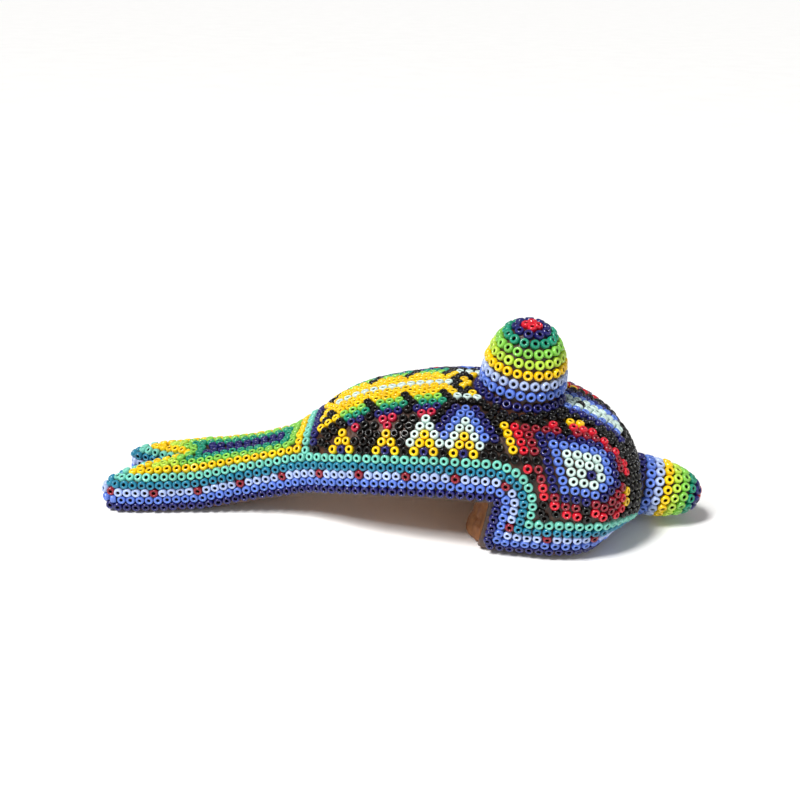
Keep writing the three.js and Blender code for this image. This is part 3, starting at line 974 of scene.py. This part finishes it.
def bead_shape():
    """One bead about its hole: points, quads, and how much painted shade each point gets on the hole's wall,
    more the further down it is.
    """
    turn = np.arange(AROUND) * 2 * math.pi / AROUND
    section = (np.arange(ACROSS) + 0.5) * 2 * math.pi / ACROSS
    c, s = np.cos(section), np.sin(section)
    half = (BEAD_RADIUS - HOLE_RADIUS) / 2
    out = HOLE_RADIUS + half + half * np.sign(c) * np.abs(c) ** SIDE_POWER
    up = BEAD_HEIGHT / 2 * np.sign(s) * np.abs(s) ** END_POWER
    points = np.stack([
        np.outer(np.cos(turn), out), np.outer(np.sin(turn), out), np.outer(np.ones(AROUND), up),
    ], -1).reshape(-1, 3)
    # Weight of the painted shade: the inner wall of the hole, from a little below its rim downwards.
    inner = np.clip((HOLE_RADIUS + 0.62 * half - out) / (0.5 * half), 0, 1)
    deep = np.clip((0.42 - up / BEAD_HEIGHT) / 0.12, 0, 1)
    hole_shade = np.tile(inner * deep, AROUND)
    i, j = np.meshgrid(np.arange(AROUND), np.arange(ACROSS), indexing="ij")
    i2, j2 = (i + 1) % AROUND, (j + 1) % ACROSS
    quads = np.stack([i * ACROSS + j, i2 * ACROSS + j, i2 * ACROSS + j2, i * ACROSS + j2], -1).reshape(-1, 4)
    return points, quads, hole_shade


def string_beads():
    """Every bead as a mesh, grouped by the CAD node it stands for and its colour."""
    shape, quads, hole_shade = bead_shape()
    place, normal = settle(np.array(beads.place), BEAD_SEAT)
    count = len(place)
    tilt = normal + rng.normal(0, LEAN_SPREAD, (count, 3))
    tilt /= np.linalg.norm(tilt, axis=1)[:, None]
    helper = np.where(np.abs(tilt[:, 2:3]) < 0.9, np.array((0, 0, 1.0)), np.array((1.0, 0, 0)))
    across = np.cross(helper, tilt)
    across /= np.linalg.norm(across, axis=1)[:, None]
    other = np.cross(tilt, across)
    size = np.array(beads.size) * rng.normal(1.0, SIZE_SPREAD, count)
    tall = rng.normal(1.0, HEIGHT_SPREAD, count)
    lift = rng.normal(0.0, LIFT_SPREAD, count)
    shade = np.clip(rng.normal(0.5, SHADE_SPREAD, count), 0, 1)
    groups = {}
    for i, key in enumerate(zip(beads.node, beads.colour)):
        groups.setdefault(key, []).append(i)
    looks = {name: glass(f"bead_{name}", *GLASS[name]) for name in GLASS}
    for (node, colour), members in sorted(groups.items()):
        m = np.array(members)
        local = shape[None] * size[m][:, None, None]
        points = (
            (place[m] + tilt[m] * lift[m][:, None])[:, None]
            + local[:, :, 0:1] * across[m][:, None] + local[:, :, 1:2] * other[m][:, None]
            + local[:, :, 2:3] * tall[m][:, None, None] * tilt[m][:, None]
        )
        all_quads = (quads[None] + (np.arange(len(m)) * len(shape))[:, None, None]).reshape(-1, 4)
        values = dict(shade=np.repeat(shade[m], len(shape)), hole_shade=np.tile(hole_shade, len(m)))
        name = node if node.endswith(colour) else f"{node}.{colour}"
        points = points.reshape(-1, 3)
        add_piece(f"beads_{name}", points, all_quads, looks[colour], [node], values)


FIN_WAX_Z = 28.0            # the fin's own wax lies above this


def wax_field(p, zone):
    """The coat's thin shell, cut to one of the zones it was spread in."""
    shell = np.maximum(form(p, WAX_DEPTH), -form(p, WOOD_DEPTH + WAX_LAP))
    shell = np.maximum(shell, -beaded(p, WAX_MARGIN))
    fin = dome_gap(FIN, p, WAX_DEPTH) - trunk(p, WAX_DEPTH)
    x, z = p[:, 0], p[:, 2]
    beak = BEAK["base"][0] - x
    inside = {
        "tail": x - RING_X,
        "torso": np.maximum(np.maximum(RING_X - x, x - NECK_X), -fin),
        "head": np.maximum(np.maximum(NECK_X - x, -beak), -fin),
        "fin": np.maximum(fin, FIN_WAX_Z - z),
        "beak": beak,
    }[zone]
    return np.maximum(np.maximum(shell, inside), GROUND_GAP - z)


WAX_BOXES = dict(
    tail=((-71, -14, -1), (RING_X + 1, 14, 24)),
    torso=((RING_X - 1, -26, 4), (NECK_X + 1, 26, 37)),
    head=((NECK_X - 1, -27, -1), (58.5, 27, 37)),
    fin=((14, -14, 27), (41, 14, 50)),
    beak=((52, -10, -1), (73, 10, 20)),
)


def stump_gap(p, side):
    """Distance from the wood of one flipper."""
    x, y, z = p.T
    across = np.hypot(x - STUMP["x"], (y - side * STUMP["y"]) / STUMP["width"])
    flare = np.clip((STUMP["flare_from"] - z) / STUMP["flare_over"], 0, 1)
    flare = flare * flare * (3 - 2 * flare)
    toe = np.clip(STUMP["toe"] - z, 0, STUMP["toe"])
    radius = STUMP["top"] + (STUMP["foot"] - STUMP["top"]) * flare - STUMP["toe_round"] * toe * toe
    ends = np.maximum(z - STUMP["height"], x - STUMP["front"])
    return np.maximum((across - radius) * STUMP["slack"], ends)


def arch_gap(p):
    """Distance from the hollow between the flippers."""
    x, y, z = p.T
    rise = ARCH["height"] - ARCH["half_width"]
    arch = np.where(z > rise, np.hypot(y, z - rise), np.abs(y)) - ARCH["half_width"]
    return np.maximum(arch, x - ARCH["front"])


def knife_marks(p):
    """The shallow waves that the carving knife left."""
    x, y, z = p.T
    marks = 0.16 * np.sin(2.1 * x + 0.9 * z + 1.3 * np.sin(0.7 * y)) * np.sin(1.3 * y + 0.5 * z)
    return marks + 0.10 * np.sin(3.4 * z + 1.7 * x + 2.1 * y)


def wood_field(p):
    core = form(p, WOOD_DEPTH)
    core = smooth_max(core, -beaded(p, WOOD_MARGIN), WOOD_EDGE_BLEND)
    for side in (-1, 1):
        core = smooth_min(core, stump_gap(p, side), STUMP["blend"])
    core = smooth_max(core, -arch_gap(p), ARCH["blend"])
    return np.maximum(core + knife_marks(p), -p[:, 2])


coat = wax_look()
for zone, (low, high) in WAX_BOXES.items():
    points, quads = iso_mesh(lambda p: wax_field(p, zone), WAX_VOXEL, low, high)
    add_piece(f"wax_coat_{zone}", points, quads, coat, [f"wax_{zone}"])

STAIN_WIDTH = 2.2           # how far the wax's stain reaches in from the wood's outer face
wood_points, wood_quads = iso_mesh(wood_field, WOOD_VOXEL, FORM_LOW, FORM_HIGH)
wood_points[:, 2] = np.maximum(wood_points[:, 2], 0.0)
waxed = np.clip(1 + form(wood_points, WOOD_DEPTH) / STAIN_WIDTH, 0, 1)
add_piece("carved_wood", wood_points, wood_quads, wood_look(), ["wood_body"], dict(waxed=waxed))

string_beads()


# ---- camera, floor and light ----------------------------------------------------------------------

AZIMUTH, ELEVATION, ROLL = (math.radians(v) for v in (4.0, 25.0, 1.0))
TARGET = Vector((0.0, 0.0, 0.017))
DISTANCE = 0.245

back_axis = Vector((
    math.sin(AZIMUTH) * math.cos(ELEVATION), -math.cos(AZIMUTH) * math.cos(ELEVATION), math.sin(ELEVATION),
))
level_axis = (-back_axis).cross(Vector((0, 0, 1))).normalized()
rise_axis = level_axis.cross(-back_axis)
right_axis = level_axis * math.cos(ROLL) + rise_axis * math.sin(ROLL)
up_axis = rise_axis * math.cos(ROLL) - level_axis * math.sin(ROLL)
camera_data = bpy.data.cameras.new("camera")
camera_data.lens, camera_data.sensor_width = 47.25, 36.0
camera_data.shift_x, camera_data.shift_y = -0.0025, 0.05125
camera_data.clip_start = 0.01
camera = bpy.data.objects.new("camera", camera_data)
facing = Matrix((right_axis, up_axis, back_axis)).transposed()
camera.matrix_world = Matrix.Translation(TARGET + back_axis * DISTANCE) @ facing.to_4x4()
bpy.context.scene.collection.objects.link(camera)
bpy.context.scene.camera = camera

FLOOR_REACH = 12.0          # metres, so that its far edge stays out of the picture
floor_corners = [(FLOOR_REACH * i, FLOOR_REACH * j, 0) for i, j in ((-1, -1), (1, -1), (1, 1), (-1, 1))]
floor_mesh = bpy.data.meshes.new("floor")
floor_mesh.from_pydata(floor_corners, [], [(0, 1, 2, 3)])
floor_look = Look("floor")
cloudy = floor_look.span(floor_look.noise(30.0), 0.3, 0.7)
paper = floor_look.mix(cloudy, (0.93, 0.93, 0.93, 1), (0.96, 0.96, 0.96, 1))
floor_mesh.materials.append(floor_look.finish(Base_Color=paper, Roughness=0.9))
floor = bpy.data.objects.new("floor", floor_mesh)
bpy.context.scene.collection.objects.link(floor)


def area_light(name, place, size, power, colour=(1, 1, 1)):
    data = bpy.data.lights.new(name, "AREA")
    data.shape = "DISK"
    data.size, data.energy, data.color = size, power, colour
    light = bpy.data.objects.new(name, data)
    light.location = place
    light.rotation_euler = (TARGET - Vector(place)).to_track_quat("-Z", "Y").to_euler()
    bpy.context.scene.collection.objects.link(light)


def sun(name, direction, strength, angle, colour=(1, 1, 1)):
    data = bpy.data.lights.new(name, "SUN")
    data.energy, data.angle, data.color = strength, math.radians(angle), colour
    light = bpy.data.objects.new(name, data)
    light.rotation_euler = Vector(direction).to_track_quat("Z", "Y").to_euler()
    bpy.context.scene.collection.objects.link(light)


sun("key", (-0.45, -0.40, 1.0), 2.7, 14, (1.0, 0.99, 0.97))
sun("fill", (0.85, -0.70, 0.55), 0.35, 40, (0.97, 0.985, 1.0))
area_light("glint", (-0.25, -0.30, 0.45), 0.08, 1.2)

world = bpy.data.worlds.new("studio")
world.use_nodes = True
world.node_tree.nodes["Background"].inputs["Color"].default_value = (1.0, 1.0, 1.0, 1.0)
world.node_tree.nodes["Background"].inputs["Strength"].default_value = 0.30
bpy.context.scene.world = world
bpy.context.scene.view_settings.view_transform = "Standard"
